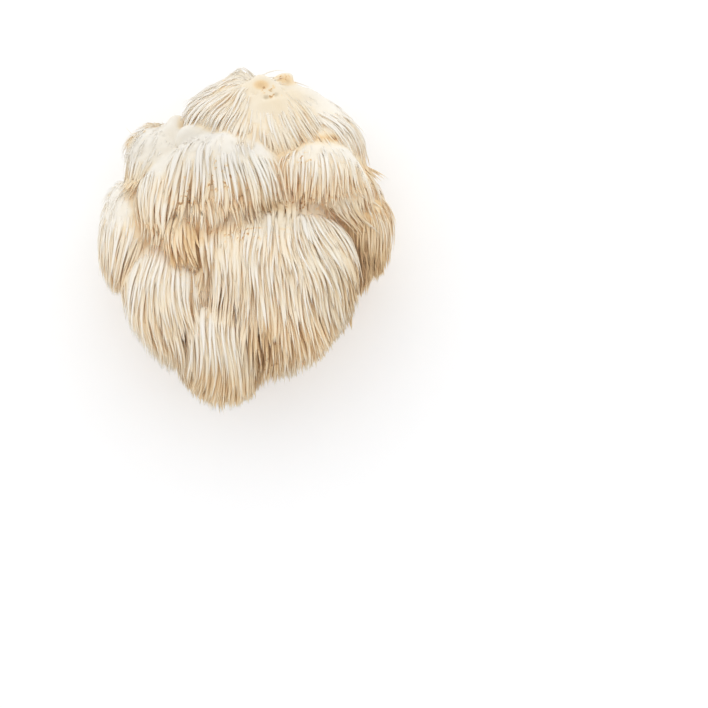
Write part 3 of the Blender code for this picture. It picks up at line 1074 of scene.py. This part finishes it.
def fungus_material(name, skin):
    """Cream where it lies open, with painted shade that turns it tan and then ochre where spines
    hide it, and a fibrous grain.
    """
    material = bpy.data.materials.new(name)
    material.use_nodes = True
    tree = material.node_tree
    shader = tree.nodes["Principled BSDF"]
    for setting, value in FINISH.items():
        shader.inputs[setting].default_value = value

    def read(fact):
        node = tree.nodes.new("ShaderNodeAttribute")
        node.attribute_name = fact
        return node.outputs["Fac"]

    def maths(operation, one, two, clamp=True):
        node = tree.nodes.new("ShaderNodeMath")
        node.operation = operation
        node.use_clamp = clamp
        for socket, value in zip(node.inputs, (one, two)):
            if isinstance(value, (int, float)):
                socket.default_value = value
            else:
                tree.links.new(value, socket)
        return node.outputs["Value"]

    def noise(place, scale, detail=2.0):
        node = tree.nodes.new("ShaderNodeTexNoise")
        node.inputs["Scale"].default_value = scale
        node.inputs["Detail"].default_value = detail
        tree.links.new(place, node.inputs["Vector"])
        return node.outputs["Fac"]

    place = tree.nodes.new("ShaderNodeTexCoord").outputs["Object"]
    # Painted shade: tan and then ochre where spines hide a place, in deep lobes, towards the hems,
    # at each spine's root and on its underside.
    deep = maths("MULTIPLY", maths("SUBTRACT", read("shelter"), SHELTER_FROM), skin.cover)
    deep = maths("ADD", deep, skin.base)
    for fact, share in FACT_SHARES:
        deep = maths("ADD", deep, maths("MULTIPLY", read(fact), share))
    patches = maths("SUBTRACT", noise(place, PATCHES[0]), 0.5, clamp=False)
    deep = maths("ADD", deep, maths("MULTIPLY", patches, PATCHES[1], clamp=False))
    deep = maths("SUBTRACT", deep, maths("MULTIPLY", read("along"), ALONG_SHARE))
    deep = maths("ADD", deep, maths("MULTIPLY", read("under"), UNDER_SHARE))
    # Stains, and painted shade in hollows, gaps and lower parts.
    stain_and_shade = maths("MULTIPLY", read("stain_and_shade"), STAIN_AND_SHADE_SHARE)
    deep = maths("ADD", maths("MULTIPLY", deep, DEEP_SHARE), stain_and_shade)
    fleck = maths("SUBTRACT", noise(place, FLECK_NOISE[0]), FLECK_FROM)
    fleck = maths("MULTIPLY", fleck, FLECK_NOISE[1])
    deep = maths("ADD", deep, maths("MULTIPLY", fleck, read("fleck")))

    ramp = tree.nodes.new("ShaderNodeValToRGB")
    for position, _ in FLESH_AND_SHADE_COLOURS[1:-1]:
        ramp.color_ramp.elements.new(position)
    for element, (position, colour) in zip(ramp.color_ramp.elements, FLESH_AND_SHADE_COLOURS):
        element.position = position
        element.color = (*colour, 1.0)
    tree.links.new(deep, ramp.inputs["Fac"])

    # Darker where the crown is dull and where shade is painted, with a random mottle.
    mottle = maths("MULTIPLY", noise(place, MOTTLE[0]), MOTTLE[1])
    dimmed = maths("ADD", maths("MULTIPLY", read("dull_and_shade"), DULL_AND_SHADE_SHARE), mottle)
    dull_and_shade = tree.nodes.new("ShaderNodeHueSaturation")
    tree.links.new(maths("SUBTRACT", BRIGHT, dimmed, clamp=False), dull_and_shade.inputs["Value"])
    tree.links.new(ramp.outputs["Color"], dull_and_shade.inputs["Color"])
    tree.links.new(dull_and_shade.outputs["Color"], shader.inputs["Base Color"])

    squeeze = tree.nodes.new("ShaderNodeMapping")
    squeeze.inputs["Scale"].default_value = (1.0, skin.along_grain, GRAIN_ALONG_Z)
    tree.links.new(place, squeeze.inputs["Vector"])
    fibre = noise(squeeze.outputs["Vector"], skin.grain, GRAIN_DETAIL)
    roughness = maths("ADD", maths("MULTIPLY", fibre, ROUGHNESS[1]), ROUGHNESS[0])
    tree.links.new(roughness, shader.inputs["Roughness"])
    bump = tree.nodes.new("ShaderNodeBump")
    bump.inputs["Strength"].default_value = BUMP_STRENGTH
    bump.inputs["Distance"].default_value = skin.grain_depth
    tree.links.new(fibre, bump.inputs["Height"])
    tree.links.new(bump.outputs["Normal"], shader.inputs["Normal"])
    return material


def add_floor():
    bpy.ops.mesh.primitive_plane_add(size=FLOOR_SIZE, location=(0.0, 0.0, 0.0))
    floor = bpy.context.object
    floor.name = "floor"
    paint = bpy.data.materials.new("floor_paint")
    paint.use_nodes = True
    shader = paint.node_tree.nodes["Principled BSDF"]
    shader.inputs["Base Color"].default_value = FLOOR_COLOUR
    shader.inputs["Roughness"].default_value = FLOOR_ROUGHNESS
    shader.inputs["Emission Color"].default_value = (*WHITE, 1.0)
    shader.inputs["Emission Strength"].default_value = FLOOR_GLOW
    floor.data.materials.append(paint)


def add_lamp(name, place, size, energy, colour):
    """A soft round lamp that shines at the mushroom's middle."""
    light = bpy.data.lights.new(name, "AREA")
    light.shape = "DISK"
    light.size = size
    light.energy = energy
    light.color = colour
    lamp = bpy.data.objects.new(name, light)
    lamp.location = place
    lamp.rotation_euler = (-lamp.location).to_track_quat("-Z", "Y").to_euler()
    bpy.context.scene.collection.objects.link(lamp)


def add_light():
    world = bpy.data.worlds.new("studio")
    bpy.context.scene.world = world
    world.use_nodes = True
    background = world.node_tree.nodes["Background"]
    background.inputs["Color"].default_value = (*WHITE, 1.0)
    background.inputs["Strength"].default_value = WORLD_STRENGTH
    add_lamp("key", *KEY_LAMP)
    add_lamp("fill", *FILL_LAMP)


def add_camera():
    lens = bpy.data.cameras.new("camera")
    lens.sensor_width = SENSOR
    lens.lens = SENSOR / IMAGE_WIDTH * FOCAL_PIXELS
    camera = bpy.data.objects.new("camera", lens)
    camera.location = CAMERA_PLACE
    bpy.context.scene.collection.objects.link(camera)
    bpy.context.scene.camera = camera


def main():
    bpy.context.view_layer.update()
    rng = np.random.default_rng(SEED)
    bpy.context.scene.view_settings.view_transform = "Standard"
    bpy.context.scene.cycles.max_bounces = BOUNCES
    bpy.context.scene.cycles.diffuse_bounces = DIFFUSE_BOUNCES
    add_camera()
    add_floor()
    add_light()
    grid, low = all_spines(fungus_material("spines", SPINE_SKIN), rng)
    mesh = flesh_mesh(rng)
    points, normals = points_and_normals(mesh)
    _, _, which = nearest_core(points)
    add_facts(mesh, {
        "shelter": shelter(points, normals, grid, low),
        "shade": SHADES[which],
        **place_facts(points, which),
    })
    add_piece("flesh", mesh, fungus_material("flesh", FLESH_SKIN))


main()
